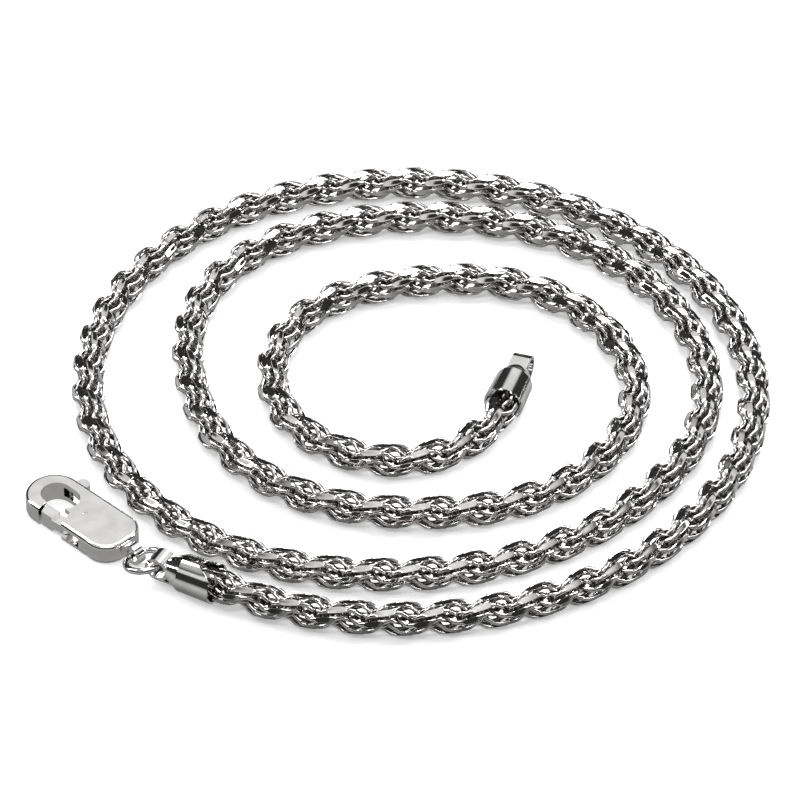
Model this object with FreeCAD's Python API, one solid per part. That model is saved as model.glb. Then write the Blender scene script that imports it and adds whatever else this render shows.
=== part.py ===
import FreeCAD, Part
import math
import os

from FreeCAD import Vector, Matrix, Placement, Rotation

# Rope-chain necklace laid in a flat spiral, with a lobster clasp on its outer end.
# Millimetres, +Z up, the necklace rests on z = 0.

# ---- chain -------------------------------------------------------------------
ENVELOPE = 4.2                  # width of the rope before its links are cut flat
FLAT_R = 1.97                   # distance from the rope's axis to each cut flat
LINK_R = 0.352 * ENVELOPE       # radius of a link's centreline
LINK_OFFSET = 0.095 * ENVELOPE  # how far a link's centre sits off the rope's axis
WIRE_R = 0.0435 * ENVELOPE      # half the wire's thickness
WIRE_CHAMFER = 0.42             # half of each flat side of the eight-sided wire, as a share of WIRE_R
LINK_TILT = math.radians(-13.3)
LINK_TWIST = math.radians(-3.5)
GAP = math.radians(119)         # opening of the C-shaped link, hidden inside the rope
GAP_SHIFT = math.radians(5.8)
LINKS_PER_HALF_TURN = 9
HALF_TURN = 5.46                # length of rope for half a turn of twist
PITCH = HALF_TURN / LINKS_PER_HALF_TURN
STEP_TURN = -(math.pi + math.pi / LINKS_PER_HALF_TURN)   # each link is turned this much
AXIS_Z = 2.02                   # height of the rope's axis above the table

# ---- how it is laid ----------------------------------------------------------
# Distance from the spiral's centre, every 45 degrees from the outer end inwards.
TURN_START = -127.5
TURN_END = 1079.0
TURN_STEP = 45.0
TURN_FIRST = -180.0
TURN_RADII = [49.0, 43.7, 41.4, 40.4, 40.5, 39.9, 40.0, 40.7, 39.5, 37.2,
              33.7, 33.2, 34.9, 34.4, 33.1, 32.4, 26.9, 24.4,
              22.9, 24.9, 26.2, 24.2, 20.3, 19.2, 17.2, 15.2,
              13.3, 11.4, 11.2, 14.0]
SPIRAL_X, SPIRAL_Y = 1.89, 0.69   # spiral's centre, so the bounding box is centred

# ---- sections that move against each other -----------------------------------
SECTIONS = 20
FLEX_LINKS = 16                 # links around each joint, where the bend is taken up

# ---- end caps ----------------------------------------------------------------
SHEET = 0.25
CAP_R = 2.42                    # outside radius of the barrel
CAP_BARREL = 4.3                # straight part, from the mouth
CAP_TAPER = 1.9                 # length of the part that closes in
CAP_NECK_R = 1.4
CAP_OVERLAP = 3.6               # how far the rope goes into the cap
SLOT_W = 0.7                    # open seam along the barrel
SLOT_MOUTH = 3.6                # seam's width at the mouth
MOUTH_CUT = 2.2                 # how far back the seam's V goes
STRAP_W = 2.3
EYE_R = 1.55                    # outside radius of the folded eyelet
EYE_HOLE_R = 1.1
EYE_X = 7.4                     # from the mouth to the eyelet's centre
CAP_LIFT = 0.42                 # the caps are wider than the rope, so its ends ride up
LIFT_RUN = 9.0

# ---- jump ring ---------------------------------------------------------------
RING_WIRE_R = 0.4
RING_R = 2.3                    # centreline radius
RING_FROM_EYE = 146.0           # direction from the outer eyelet to the ring's centre

# ---- clasp -------------------------------------------------------------------
CLASP_T = 2.6                   # thickness of the body
CLASP_W = 6.8
CLASP_ANGLE = 136.0             # direction from the bail to the hook
BAIL_FROM_RING = 124.0          # direction from the ring's centre to the clasp's bail
BODY_START = 1.3
HOOK_END = 17.0
OPENING_R = 1.85                # half the width of the hook's opening
OPENING_X = (11.9, 13.3)        # centres of the two rounds of the opening
EDGE_ROUND = 0.45
SLOT_T = 1.3                    # slot in the body for the lever
PIVOT = (8.0, 0.2)
PIN_R = 0.45
LEVER_T = 1.15
HUB_R = 1.45
RUN_GAP = 0.05                  # radial running clearance of the lever on its pin
NUB = (12.9, -3.95)
NUB_R = 0.85
GATE_T = 2.0
BAIL_R = 1.28
BAIL_HOLE_R = 0.78
BAIL_T = 1.1
SPRING_WIRE_R = 0.14
SPRING_COIL_R = 0.36
SPRING_LENGTH = 1.85
SPRING_TURNS = 5


def turn_radius(angle):
    """Distance from the spiral's centre at a turn angle, a smooth curve through TURN_RADII."""
    f = (angle - TURN_FIRST) / TURN_STEP
    i = min(max(int(math.floor(f)), 1), len(TURN_RADII) - 3)
    t = f - i
    a, b, c, d = TURN_RADII[i - 1:i + 3]
    return 0.5 * (2 * b + (c - a) * t + (2 * a - 5 * b + 4 * c - d) * t ** 2
                  + (3 * b - a - 3 * c + d) * t ** 3)


def spiral_point(angle):
    r, a = turn_radius(angle), math.radians(angle)
    return Vector(SPIRAL_X + r * math.cos(a), SPIRAL_Y + r * math.sin(a), AXIS_Z)


def lay_route():
    """Lengths along the rope and the points there, from the outer end to the inner."""
    step = 0.25
    count = int(round((TURN_END - TURN_START) / step))
    points = [spiral_point(TURN_START + k * step) for k in range(count + 1)]
    lengths = [0.0]
    for a, b in zip(points, points[1:]):
        lengths.append(lengths[-1] + (b - a).Length)
    return lengths, points


def frame_at(route, s):
    """Placement with z along the rope and x to its left, at length s."""
    lengths, points = route
    lo, hi = 0, len(lengths) - 2
    while lo < hi:
        mid = (lo + hi + 1) // 2
        if lengths[mid] <= s:
            lo = mid
        else:
            hi = mid - 1
    t = (s - lengths[lo]) / (lengths[lo + 1] - lengths[lo])
    here = points[lo] + (points[lo + 1] - points[lo]) * t
    before, after = points[max(lo - 4, 0)], points[min(lo + 5, len(points) - 1)]
    along = (after - before).normalize()
    run = min(max((min(s, lengths[-1] - s) - CAP_OVERLAP) / LIFT_RUN, 0.0), 1.0)
    here = here + Vector(0, 0, CAP_LIFT * (1 - run * run * (3 - 2 * run)))
    left = Vector(-along.y, along.x, 0)
    return axes_placement(here, left, Vector(0, 0, 1), along)


def axes_placement(origin, x, y, z):
    return Placement(Matrix(x.x, y.x, z.x, origin.x,
                            x.y, y.y, z.y, origin.y,
                            x.z, y.z, z.z, origin.z))


def mirrored(v):
    return Vector(v.x, -v.y, v.z)


def make_link():
    """One C-shaped link with its outer side cut flat, in the straight rope's frame."""
    up = Vector(0, -math.sin(LINK_TILT), math.cos(LINK_TILT))
    side = up.cross(Vector(1, 0, 0))
    out = Vector(1, 0, 0) * math.cos(LINK_TWIST) + side * math.sin(LINK_TWIST)
    start = GAP_SHIFT + GAP / 2 - math.pi
    radial = mirrored(out * math.cos(start) + up * math.sin(start))
    normal = mirrored(up.cross(out))
    centre = Vector(LINK_OFFSET, 0, 0)
    long_side, short_side = WIRE_R, WIRE_R * WIRE_CHAMFER
    corners = [(long_side, -short_side), (long_side, short_side),
               (short_side, long_side), (-short_side, long_side),
               (-long_side, short_side), (-long_side, -short_side),
               (-short_side, -long_side), (short_side, -long_side)]
    points = [centre + radial * (LINK_R + r) + normal * n for r, n in corners]
    section = Part.Face(Part.makePolygon(points + points[:1]))
    axis = mirrored(out).cross(mirrored(up))
    link = section.revolve(centre, axis, math.degrees(2 * math.pi - GAP))
    beyond = Part.makeBox(ENVELOPE, 3 * ENVELOPE, 3 * ENVELOPE,
                          Vector(FLAT_R, -1.5 * ENVELOPE, -1.5 * ENVELOPE))
    return link.cut(beyond).Solids[0]


def save(name, shapes):
    shape = shapes[0] if len(shapes) == 1 else Part.makeCompound(shapes)
    shape.exportStep("parts/" + name + ".step")


def build_chain(route):
    """The rope: rigid runs of links, and the links that bend around each joint."""
    link = make_link()
    count = int(route[0][-1] / PITCH)
    spin = [Rotation(Vector(0, 0, 1), math.degrees(STEP_TURN * k)) for k in range(count)]
    groups = {}
    for k in range(count):
        place = frame_at(route, (k + 0.5) * PITCH)
        piece = link.copy()
        piece.Placement = Placement(place.Base, place.Rotation.multiply(spin[k]))
        position = k * SECTIONS / count
        section = int(position)
        nearest = int(round(position))
        if 0 < nearest < SECTIONS and abs(k + 0.5 - nearest * count / SECTIONS) < FLEX_LINKS / 2:
            name = "flex_%02d" % nearest
        else:
            name = "links_%02d" % (section + 1)
        groups.setdefault(name, []).append(piece)
    for name, pieces in groups.items():
        save(name, pieces)


def make_cap():
    """Rolled sheet cap with a folded eyelet. Mouth at x = 0 facing -x, seam towards +z."""
    inner = CAP_R - SHEET
    tip = CAP_BARREL + CAP_TAPER
    outer_line = [(0, CAP_R), (CAP_BARREL, CAP_R - 0.12), (tip, CAP_NECK_R)]
    inner_line = [(tip, CAP_NECK_R - SHEET), (CAP_BARREL, inner - 0.12), (0, inner)]
    corners = [Vector(x, 0, r) for x, r in outer_line + inner_line]
    profile = Part.Face(Part.makePolygon(corners + corners[:1]))
    shell = profile.revolve(Vector(0, 0, 0), Vector(1, 0, 0), 360)
    height = 2 * CAP_R
    seam = Part.makeBox(tip + 1, SLOT_W, height, Vector(-0.5, -SLOT_W / 2, 0))
    vee = [Vector(-0.01, -SLOT_MOUTH / 2, 0), Vector(-0.01, SLOT_MOUTH / 2, 0),
           Vector(MOUTH_CUT, SLOT_W / 2, 0), Vector(MOUTH_CUT, -SLOT_W / 2, 0)]
    mouth = Part.Face(Part.makePolygon(vee + vee[:1])).extrude(Vector(0, 0, height))
    shell = shell.cut(seam.fuse(mouth))
    eye = Part.makeCylinder(EYE_R, STRAP_W, Vector(EYE_X, -STRAP_W / 2, 0), Vector(0, 1, 0))
    strap = Part.makeBox(EYE_X - CAP_BARREL, STRAP_W, SHEET,
                         Vector(CAP_BARREL, -STRAP_W / 2, -EYE_R))
    hole = Part.makeCylinder(EYE_HOLE_R, 2 * STRAP_W, Vector(EYE_X, -STRAP_W, 0), Vector(0, 1, 0))
    end_wall = Part.makeCylinder(CAP_NECK_R, SHEET, Vector(tip - SHEET, 0, 0), Vector(1, 0, 0))
    return shell.fuse([eye, strap, end_wall]).cut(hole).removeSplitter()


def cap_placement(route, outer, roll):
    """The cap's frame at one end of the rope, turned by roll about the rope."""
    s = CAP_OVERLAP if outer else route[0][-1] - CAP_OVERLAP
    at = frame_at(route, s)
    along = at.Rotation.multVec(Vector(0, 0, 1)) * (-1 if outer else 1)
    side = Vector(0, 0, 1).cross(along)
    place = axes_placement(at.Base, along, side, Vector(0, 0, 1))
    return place.multiply(Placement(Vector(), Rotation(Vector(1, 0, 0), roll)))


def slab(points, z_low, thickness):
    corners = [Vector(x, y, z_low) for x, y in points]
    return Part.Face(Part.makePolygon(corners + corners[:1])).extrude(Vector(0, 0, thickness))


def disc(x, y, r, z_low, thickness):
    return Part.makeCylinder(r, thickness, Vector(x, y, z_low))


def stadium(x1, y1, x2, y2, r, z_low, thickness):
    """A straight bar with round ends."""
    d = Vector(x2 - x1, y2 - y1, 0)
    n = Vector(-d.y, d.x, 0).normalize() * r
    bar = slab([(x1 + n.x, y1 + n.y), (x1 - n.x, y1 - n.y), (x2 - n.x, y2 - n.y),
                (x2 + n.x, y2 + n.y)], z_low, thickness)
    return bar.fuse([disc(x1, y1, r, z_low, thickness), disc(x2, y2, r, z_low, thickness)])


def rim_wire(*arcs):
    """Closed wire through arcs, each given by three points, joined by straight lines."""
    edges = []
    for k, arc in enumerate(arcs):
        a, b, c = [Vector(x, y, 0) for x, y in arc]
        edges.append(Part.Arc(a, b, c).toShape())
        x, y = arcs[(k + 1) % len(arcs)][0]
        edges.append(Part.makeLine(c, Vector(x, y, 0)))
    return Part.Wire(edges)


def make_clasp_body():
    """Body and hook in the clasp's frame: x from bail to hook, z up from the table."""
    half = CLASP_W / 2
    hook_x = HOOK_END - half
    rim = rim_wire([(BODY_START, -0.9), (2.0, -2.55), (4.6, -half)],
                   [(hook_x, -half), (HOOK_END, 0), (hook_x, half)],
                   [(4.6, half), (2.0, 2.55), (BODY_START, 0.9)])
    body = Part.Face(rim).extrude(Vector(0, 0, CLASP_T))
    flat_edges = [e for e in body.Edges if e.BoundBox.ZLength < 1e-6]
    body = body.makeFillet(EDGE_ROUND, flat_edges)
    opening = stadium(OPENING_X[0], -0.05, OPENING_X[1], -0.05, OPENING_R, -1, CLASP_T + 2)
    gateway = slab([(9.6, 1.2), (13.15, 1.2), (12.55, half + 1), (8.6, half + 1)], -1, CLASP_T + 2)
    middle = (CLASP_T - SLOT_T) / 2
    channel = slab([(PIVOT[0] - 2.0, -half - 1), (13.9, -half - 1), (13.9, -1.6), (10.6, -1.0),
                    (10.6, half + 1), (PIVOT[0] - 2.0, half + 1)], middle, SLOT_T)
    pocket = slab([(4.0, 0.6), (7.2, 0.6), (7.2, 2.2), (4.0, 2.2)], middle, SLOT_T)
    body = body.cut(opening.fuse([gateway, channel, pocket]))
    lug = Part.makeCylinder(BAIL_R, BAIL_T, Vector(0, -BAIL_T / 2, CLASP_T / 2), Vector(0, 1, 0))
    neck = Part.makeBox(BODY_START + 0.4, BAIL_T, 1.5, Vector(0.6, -BAIL_T / 2, CLASP_T / 2 - 0.75))
    eye = Part.makeCylinder(BAIL_HOLE_R, 4, Vector(0, -2, CLASP_T / 2), Vector(0, 1, 0))
    pin_hole = disc(PIVOT[0], PIVOT[1], PIN_R, -1, CLASP_T + 2)
    return body.fuse([lug, neck]).cut(eye.fuse(pin_hole)).removeSplitter()


def make_lever():
    """Gate, hub and thumb nub in one flat piece."""
    low = (CLASP_T - LEVER_T) / 2
    hub = disc(PIVOT[0], PIVOT[1], HUB_R, low, LEVER_T)
    arm = stadium(PIVOT[0], PIVOT[1] - 0.6, 9.3, -2.2, 0.75, low, LEVER_T)
    reach = stadium(9.3, -2.5, 12.6, -2.75, 0.55, low, LEVER_T)
    stalk = stadium(12.6, -2.75, NUB[0], NUB[1], 0.55, low, LEVER_T)
    nub = disc(NUB[0], NUB[1], NUB_R, low, LEVER_T)
    root = stadium(PIVOT[0] + 0.2, PIVOT[1] + 0.4, 9.4, 2.2, 0.85, low, LEVER_T)
    gate = slab([(10.7, 1.75), (13.0, 1.75), (12.42, 3.2), (10.7, 3.2)],
                (CLASP_T - GATE_T) / 2, GATE_T)
    web = slab([(9.2, 1.5), (10.8, 1.75), (10.8, 3.2), (9.2, 3.05)], low, LEVER_T)
    heel = stadium(PIVOT[0], PIVOT[1], PIVOT[0] - 1.3, 1.35, 0.45, low, LEVER_T)
    bore = disc(PIVOT[0], PIVOT[1], PIN_R + RUN_GAP, -1, CLASP_T + 2)
    lever = hub.fuse([arm, reach, stalk, nub, root, web, gate, heel])
    return lever.cut(bore).removeSplitter()


def make_spring():
    """Small coil spring in the body, pushing on the lever's heel."""
    pitch = SPRING_LENGTH / SPRING_TURNS
    path = Part.makeHelix(pitch, SPRING_LENGTH, SPRING_COIL_R)
    start = Vector(SPRING_COIL_R, 0, 0)
    profile = Part.Wire(Part.Circle(start, Vector(0, 1, 0), SPRING_WIRE_R).toShape())
    coil = Part.Wire(path).makePipeShell([profile], True, True)
    coil.Placement = axes_placement(Vector(4.2, 1.35, CLASP_T / 2), Vector(0, 1, 0),
                                    Vector(0, 0, 1), Vector(1, 0, 0))
    return Part.Solid(coil)


def direction(degrees):
    a = math.radians(degrees)
    return Vector(math.cos(a), math.sin(a), 0)


def build_caps(route):
    """Both caps; returns the centre of the outer one's eyelet."""
    cap = make_cap()
    for name, outer, roll in (("inner_cap", False, 180), ("outer_cap", True, 0)):
        piece = cap.copy()
        piece.Placement = cap_placement(route, outer, roll)
        save(name, [piece])
        eyelet = piece.Placement.multVec(Vector(EYE_X, 0, 0))
        print(name, "eyelet", eyelet, "mouth", piece.Placement.Base)
    return eyelet


def build_clasp(eyelet):
    """Jump ring through the eyelet and the bail, then the clasp lying on the table."""
    bail = eyelet + (direction(RING_FROM_EYE) + direction(BAIL_FROM_RING)) * RING_R
    bail.z = CLASP_T / 2
    middle = eyelet + direction(RING_FROM_EYE) * RING_R
    middle.z = (eyelet.z + bail.z) / 2
    normal = (eyelet - middle).cross(bail - middle).normalize()
    save("jump_ring", [Part.makeTorus(RING_R, RING_WIRE_R, middle, normal)])
    along, side = direction(CLASP_ANGLE), direction(CLASP_ANGLE + 90)
    place = axes_placement(Vector(bail.x, bail.y, 0), along, side, Vector(0, 0, 1))
    pin = disc(PIVOT[0], PIVOT[1], PIN_R - 0.01, 0.05, CLASP_T - 0.1)
    pieces = {"clasp_body": make_clasp_body(), "clasp_lever": make_lever(),
              "lever_pin": pin, "lever_spring": make_spring()}
    for name, shape in pieces.items():
        shape = shape.copy()
        shape.Placement = place.multiply(shape.Placement)
        save(name, [shape])
    print("bail", bail, "pivot", place.multVec(Vector(PIVOT[0], PIVOT[1], CLASP_T / 2)))


def main():
    os.makedirs("parts", exist_ok=True)
    route = lay_route()
    print("rope length", route[0][-1], "links", int(route[0][-1] / PITCH))
    build_chain(route)
    build_clasp(build_caps(route))


main()
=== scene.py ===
import math

import bmesh
import bpy
import numpy as np
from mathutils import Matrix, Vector


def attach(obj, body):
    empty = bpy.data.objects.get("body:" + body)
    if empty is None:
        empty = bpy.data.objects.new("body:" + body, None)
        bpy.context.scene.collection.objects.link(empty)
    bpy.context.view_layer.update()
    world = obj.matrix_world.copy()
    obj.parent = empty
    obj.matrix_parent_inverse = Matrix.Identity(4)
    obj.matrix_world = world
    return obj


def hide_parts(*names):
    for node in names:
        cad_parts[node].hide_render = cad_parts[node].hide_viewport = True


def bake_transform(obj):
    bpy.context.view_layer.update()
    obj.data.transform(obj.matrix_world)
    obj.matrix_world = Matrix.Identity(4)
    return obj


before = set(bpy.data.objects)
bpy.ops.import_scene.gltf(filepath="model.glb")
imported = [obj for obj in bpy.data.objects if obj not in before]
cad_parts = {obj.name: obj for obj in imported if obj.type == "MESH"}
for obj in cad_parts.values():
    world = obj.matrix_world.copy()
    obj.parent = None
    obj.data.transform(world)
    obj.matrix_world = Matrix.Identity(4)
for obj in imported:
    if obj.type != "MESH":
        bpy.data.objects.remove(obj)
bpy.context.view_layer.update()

MM = 0.001

# ---- the rope, in millimetres, on the CAD's route ------------------------------
# Its links are fuller than the CAD's, which may not cut into each other.
ENVELOPE = 4.28                  # width before the links are cut flat
FLAT_R = 1.93                    # a hair inside the CAD's 1.97
LINK_R = 0.40 * ENVELOPE
LINK_STRETCH = 1.4               # a link's length along the rope over its width
LINK_OFFSET = 0.05 * ENVELOPE
WIRE_R = 0.056 * ENVELOPE
WIRE_SPREAD = 1.6                # how much wider than thick the wire is on the outside
LINK_TILT = math.radians(-10)
GAP = math.radians(20)
SHARP_ANGLE = math.radians(35)
LINKS_PER_HALF_TURN = 9
PITCH = 5.46 / LINKS_PER_HALF_TURN
STEP_TURN = -(math.pi + math.pi / LINKS_PER_HALF_TURN)
AXIS_Z = 2.02
TURN_START, TURN_END, TURN_STEP, TURN_FIRST = -127.5, 1079.0, 45.0, -180.0
TURN_RADII = [49.0, 43.7, 41.4, 40.4, 40.5, 39.9, 40.0, 40.7, 39.5, 37.2,
              33.7, 33.2, 34.9, 34.4, 33.1, 32.4, 26.9, 24.4,
              22.9, 24.9, 26.2, 24.2, 20.3, 19.2, 17.2, 15.2,
              13.3, 11.4, 11.2, 14.0]
SPIRAL_X, SPIRAL_Y = 1.89, 0.69
SECTIONS = 20
FLEX_LINKS = 16
CAP_OVERLAP = 3.6
CAP_LIFT = 0.42
LIFT_RUN = 9.0


def turn_radius(angle):
    """Distance from the spiral's centre, a smooth curve through TURN_RADII."""
    f = (angle - TURN_FIRST) / TURN_STEP
    i = min(max(int(math.floor(f)), 1), len(TURN_RADII) - 3)
    t = f - i
    a, b, c, d = TURN_RADII[i - 1:i + 3]
    return 0.5 * (2 * b + (c - a) * t + (2 * a - 5 * b + 4 * c - d) * t ** 2
                  + (3 * b - a - 3 * c + d) * t ** 3)


ANGLES = np.arange(TURN_START, TURN_END + 0.125, 0.25)
RADII = np.array([turn_radius(a) for a in ANGLES])
ROUTE = np.stack([SPIRAL_X + RADII * np.cos(np.radians(ANGLES)),
                  SPIRAL_Y + RADII * np.sin(np.radians(ANGLES)),
                  np.full(len(ANGLES), AXIS_Z)], 1)
LENGTHS = np.concatenate([[0], np.cumsum(np.linalg.norm(np.diff(ROUTE, axis=0), axis=1))])
COUNT = int(LENGTHS[-1] / PITCH)


def frame_at(s):
    """Point on the rope's axis and the left, up and along directions there."""
    i = int(np.clip(np.searchsorted(LENGTHS, s, side="right") - 1, 0, len(LENGTHS) - 2))
    t = (s - LENGTHS[i]) / (LENGTHS[i + 1] - LENGTHS[i])
    here = ROUTE[i] + (ROUTE[i + 1] - ROUTE[i]) * t
    along = ROUTE[min(i + 5, len(ROUTE) - 1)] - ROUTE[max(i - 4, 0)]
    along /= np.linalg.norm(along)
    run = np.clip((min(s, LENGTHS[-1] - s) - CAP_OVERLAP) / LIFT_RUN, 0, 1)
    here = here + np.array([0, 0, CAP_LIFT * (1 - run * run * (3 - 2 * run))])
    return here, np.array([-along[1], along[0], 0.0]), np.array([0.0, 0, 1]), along


def link_mesh(stations=30, around=14):
    """One link in the straight rope's frame, its outer side cut flat, as (points, faces)."""
    up = np.array([0, -math.sin(LINK_TILT), math.cos(LINK_TILT)])
    out = np.array([1.0, 0, 0])
    normal = np.cross(up, out)
    span = math.pi - GAP / 2
    bm = bmesh.new()
    rings = []
    for k in range(stations):
        t = 2 * span * k / (stations - 1) - span
        centre = (np.array([LINK_OFFSET, 0, 0])
                  + (out * math.cos(t) + up * LINK_STRETCH * math.sin(t)) * LINK_R)
        radial = out * LINK_STRETCH * math.cos(t) + up * math.sin(t)
        radial /= np.linalg.norm(radial)
        half = WIRE_R * (1 + (WIRE_SPREAD - 1) * max(0.0, math.cos(t)) ** 4)
        ring = []
        for j in range(around):
            a = 2 * math.pi * j / around
            p = centre + radial * WIRE_R * math.cos(a) + normal * half * math.sin(a)
            ring.append(bm.verts.new((p[0], -p[1], p[2])))
        rings.append(ring)
    for a, b in zip(rings, rings[1:]):
        for j in range(around):
            bm.faces.new((a[j], b[j], b[(j + 1) % around], a[(j + 1) % around]))
    bm.faces.new(rings[0])
    bm.faces.new(list(reversed(rings[-1])))
    cut = bmesh.ops.bisect_plane(bm, geom=bm.verts[:] + bm.edges[:] + bm.faces[:],
                                 plane_co=(FLAT_R, 0, 0), plane_no=(1, 0, 0), clear_outer=True)
    rim = [e for e in cut["geom_cut"] if isinstance(e, bmesh.types.BMEdge)]
    bmesh.ops.contextual_create(bm, geom=rim)
    bmesh.ops.recalc_face_normals(bm, faces=bm.faces[:])
    bm.verts.index_update()
    points = np.array([v.co[:] for v in bm.verts])
    faces = [[v.index for v in f.verts] for f in bm.faces]
    bm.free()
    return points, faces


LINK_POINTS, LINK_FACES = link_mesh()


def make_piece(name, points_mm, faces, material):
    mesh = bpy.data.meshes.new(name)
    mesh.from_pydata(np.asarray(points_mm) * MM, [], faces)
    mesh.update()
    obj = bpy.data.objects.new(name, mesh)
    bpy.context.scene.collection.objects.link(obj)
    mesh.polygons.foreach_set("use_smooth", [True] * len(mesh.polygons))
    mesh.set_sharp_from_angle(angle=SHARP_ANGLE)
    mesh.materials.append(material)
    return obj


def links_piece(name, numbers, material):
    """The links with these numbers along the rope, as one piece."""
    points, faces = [], []
    for n, k in enumerate(numbers):
        here, left, up, along = frame_at((k + 0.5) * PITCH)
        c, s = math.cos(STEP_TURN * k), math.sin(STEP_TURN * k)
        p = LINK_POINTS
        x, y = c * p[:, 0] - s * p[:, 1], s * p[:, 0] + c * p[:, 1]
        points.append(here + x[:, None] * left + y[:, None] * up + p[:, 2:] * along)
        start = n * len(p)
        faces += [[v + start for v in f] for f in LINK_FACES]
    return make_piece(name, np.concatenate(points), faces, material)


# ---- materials ---------------------------------------------------------------
def metal(name, low, high, rough_low, rough_high, scale, bump):
    """Polished metal: slight clouds in colour and gloss, and fine handling marks."""
    m = bpy.data.materials.new(name)
    m.use_nodes = True
    nodes, links = m.node_tree.nodes, m.node_tree.links
    shader = nodes["Principled BSDF"]
    shader.inputs["Metallic"].default_value = 1.0
    where = nodes.new("ShaderNodeTexCoord")
    cloud = nodes.new("ShaderNodeTexNoise")
    cloud.inputs["Scale"].default_value = scale
    cloud.inputs["Detail"].default_value = 4
    links.new(where.outputs["Object"], cloud.inputs["Vector"])
    tone = nodes.new("ShaderNodeValToRGB")
    tone.color_ramp.elements[0].position, tone.color_ramp.elements[1].position = 0.35, 0.65
    tone.color_ramp.elements[0].color = (*low, 1)
    tone.color_ramp.elements[1].color = (*high, 1)
    links.new(cloud.outputs["Fac"], tone.inputs["Fac"])
    links.new(tone.outputs["Color"], shader.inputs["Base Color"])
    gloss = nodes.new("ShaderNodeMapRange")
    gloss.inputs["To Min"].default_value, gloss.inputs["To Max"].default_value = rough_low, rough_high
    links.new(cloud.outputs["Fac"], gloss.inputs["Value"])
    links.new(gloss.outputs["Result"], shader.inputs["Roughness"])
    marks = nodes.new("ShaderNodeTexNoise")
    marks.inputs["Scale"].default_value = scale * 9
    marks.inputs["Detail"].default_value = 6
    links.new(where.outputs["Object"], marks.inputs["Vector"])
    bumps = nodes.new("ShaderNodeBump")
    bumps.inputs["Strength"].default_value = bump
    bumps.inputs["Distance"].default_value = 0.00002
    links.new(marks.outputs["Fac"], bumps.inputs["Height"])
    links.new(bumps.outputs["Normal"], shader.inputs["Normal"])
    return m


def paint_crevice_shade(material, reach, colour):
    """Painted shade where surfaces stand close together, as between the links: ambient occlusion mixes
    the base colour towards a dark colour.
    """
    nodes, links = material.node_tree.nodes, material.node_tree.links
    base = nodes["Principled BSDF"].inputs["Base Color"]
    unshaded = base.links[0].from_socket
    # ambient occlusion sets how much painted shade goes into the base colour
    near = nodes.new("ShaderNodeAmbientOcclusion")
    near.inputs["Distance"].default_value = reach
    near.samples = 4
    crevice_shade_amount = nodes.new("ShaderNodeMapRange")
    crevice_shade_amount.inputs["From Min"].default_value, crevice_shade_amount.inputs["From Max"].default_value = 0.25, 0.85
    mix = nodes.new("ShaderNodeMixRGB")
    mix.inputs["Color1"].default_value = (*colour, 1)
    links.new(near.outputs["AO"], crevice_shade_amount.inputs["Value"])
    links.new(crevice_shade_amount.outputs["Result"], mix.inputs["Fac"])
    links.new(unshaded, mix.inputs["Color2"])
    links.new(mix.outputs["Color"], base)


ROPE = metal("rope_silver", (0.66, 0.65, 0.635), (0.84, 0.83, 0.82), 0.045, 0.11, 900, 0.05)
# Painted shade: the rope's base colour goes dark brown in the crevices between its links.
paint_crevice_shade(ROPE, 0.0012, (0.10, 0.085, 0.075))
PLATE = metal("cap_silver", (0.80, 0.79, 0.775), (0.93, 0.925, 0.915), 0.05, 0.12, 420, 0.12)
WIRE = metal("ring_silver", (0.78, 0.77, 0.755), (0.92, 0.915, 0.91), 0.04, 0.10, 600, 0.10)
STEEL = metal("spring_steel", (0.45, 0.45, 0.45), (0.62, 0.61, 0.60), 0.20, 0.32, 900, 0.20)

# ---- the rope ----------------------------------------------------------------
groups = {}
for k in range(COUNT):
    position = k * SECTIONS / COUNT
    nearest = int(round(position))
    at_joint = abs(k + 0.5 - nearest * COUNT / SECTIONS) < FLEX_LINKS / 2
    if 0 < nearest < SECTIONS and at_joint:
        groups.setdefault(("flex", nearest), []).append(k)
    else:
        groups.setdefault(("links", int(position) + 1), []).append(k)

for (kind, number), numbers in groups.items():
    node = "%s_%02d" % (kind, number)
    piece = links_piece("rope_" + node, numbers, ROPE)
    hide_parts(node)
    if kind == "links":
        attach(piece, "section_%02d" % number)
    else:
        here, left, up, along = frame_at(number * COUNT / SECTIONS * PITCH)
        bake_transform(piece)

# ---- CAD nodes kept, with real materials --------------------------------------
OTHER_METALS = {"jump_ring": WIRE, "lever_spring": STEEL}
for name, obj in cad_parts.items():
    obj.data.materials.clear()
    obj.data.materials.append(OTHER_METALS.get(name, PLATE))

# ---- table, light, camera ----------------------------------------------------
FLOOR_GLOW = 0.35                 # a light table, so the necklace casts almost no shadow
floor_mat = bpy.data.materials.new("table_white")
floor_mat.use_nodes = True
floor_shader = floor_mat.node_tree.nodes["Principled BSDF"]
floor_shader.inputs["Base Color"].default_value = (0.92, 0.92, 0.92, 1)
floor_shader.inputs["Roughness"].default_value = 0.7
floor_shader.inputs["Emission Color"].default_value = (1, 1, 1, 1)
floor_shader.inputs["Emission Strength"].default_value = FLOOR_GLOW
floor_mesh = bpy.data.meshes.new("floor")
floor_mesh.from_pydata([(-2, -2, 0), (2, -2, 0), (2, 2, 0), (-2, 2, 0)], [], [(0, 1, 2, 3)])
floor = bpy.data.objects.new("floor", floor_mesh)
floor_mesh.materials.append(floor_mat)
bpy.context.scene.collection.objects.link(floor)
floor.visible_glossy = False

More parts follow.
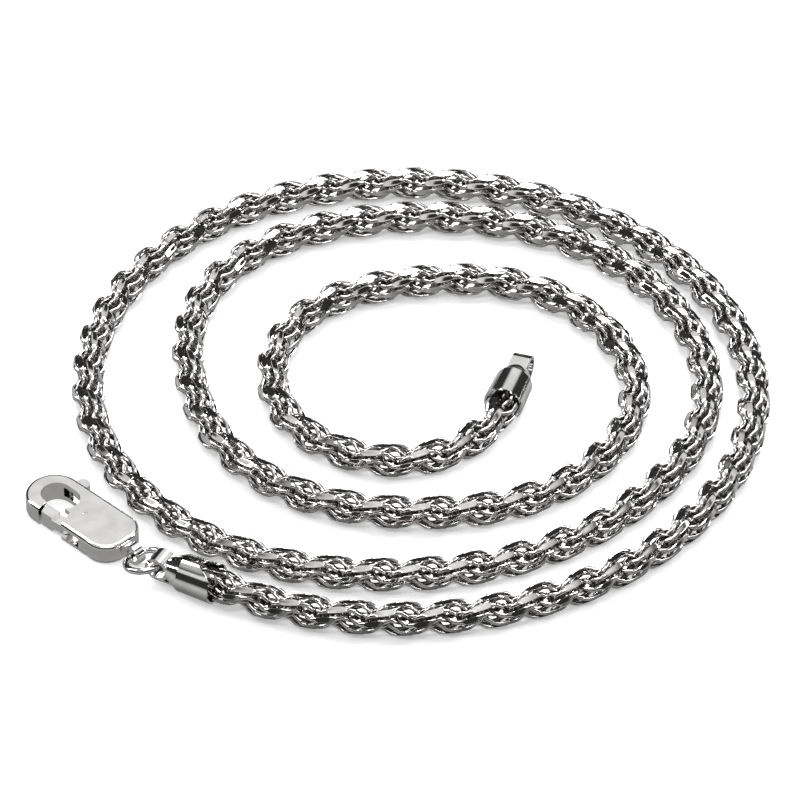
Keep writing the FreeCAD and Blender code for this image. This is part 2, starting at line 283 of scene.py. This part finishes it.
# A dark room with a pale ceiling and pale strips on the walls.
ROOM = ((0.0, 0.10), (0.30, 0.12), (0.42, 0.45), (0.50, 0.03), (0.76, 0.03), (0.79, 0.70), (0.86, 0.85),
        (0.90, 0.05), (1.0, 0.5))
BACK_WATTS = 5.5
FRONT_WATTS = 1.6
SIDE_WATTS = 1.6
world = bpy.data.worlds.new("studio")
bpy.context.scene.world = world
world.use_nodes = True
room, room_links = world.node_tree.nodes, world.node_tree.links
look = room.new("ShaderNodeTexCoord")
axes = room.new("ShaderNodeSeparateXYZ")
height = room.new("ShaderNodeMapRange")
height.inputs["From Min"].default_value = -1.0
shade = room.new("ShaderNodeValToRGB")
for spot, level in ROOM:
    stop = shade.color_ramp.elements.new(spot) if 0 < spot < 1 else shade.color_ramp.elements[int(spot)]
    stop.color = (level, level, level, 1)
room_links.new(look.outputs["Generated"], axes.inputs[0])
room_links.new(axes.outputs["Z"], height.inputs["Value"])
room_links.new(height.outputs["Result"], shade.inputs["Fac"])
room_links.new(shade.outputs["Color"], room["Background"].inputs[0])


def soft_light(name, place, size, watts, target=(0, 0, 0)):
    data = bpy.data.lights.new(name, "AREA")
    data.shape = "RECTANGLE"
    data.size, data.size_y = size
    data.energy = watts
    lamp = bpy.data.objects.new(name, data)
    lamp.location = place
    lamp.rotation_euler = (Vector(target) - Vector(place)).to_track_quat("-Z", "Y").to_euler()
    bpy.context.scene.collection.objects.link(lamp)
    return lamp


soft_light("back_box", (0.0, 0.38, 0.72), (0.7, 0.25), BACK_WATTS)
soft_light("front_box", (0.0, -0.35, 0.75), (0.6, 0.10), FRONT_WATTS)
soft_light("left_box", (-0.60, 0.15, 0.40), (0.12, 0.5), SIDE_WATTS)
soft_light("right_box", (0.60, 0.10, 0.35), (0.12, 0.4), SIDE_WATTS)
bpy.context.scene.view_settings.view_transform = "Standard"

camera_data = bpy.data.cameras.new("camera")
camera = bpy.data.objects.new("camera", camera_data)
bpy.context.scene.collection.objects.link(camera)
bpy.context.scene.camera = camera
ELEVATION = math.radians(40)
DISTANCE = 0.700
AIM = Vector((-0.00011, 0.00069, 0.0))
camera.location = AIM + Vector((0, -math.cos(ELEVATION), math.sin(ELEVATION))) * DISTANCE
camera.rotation_euler = (math.pi / 2 - ELEVATION, 0, 0)
camera_data.sensor_width = 36
camera_data.lens = 36 * 8.3 * DISTANCE / MM / 800
camera_data.clip_start, camera_data.clip_end = 0.01, 20
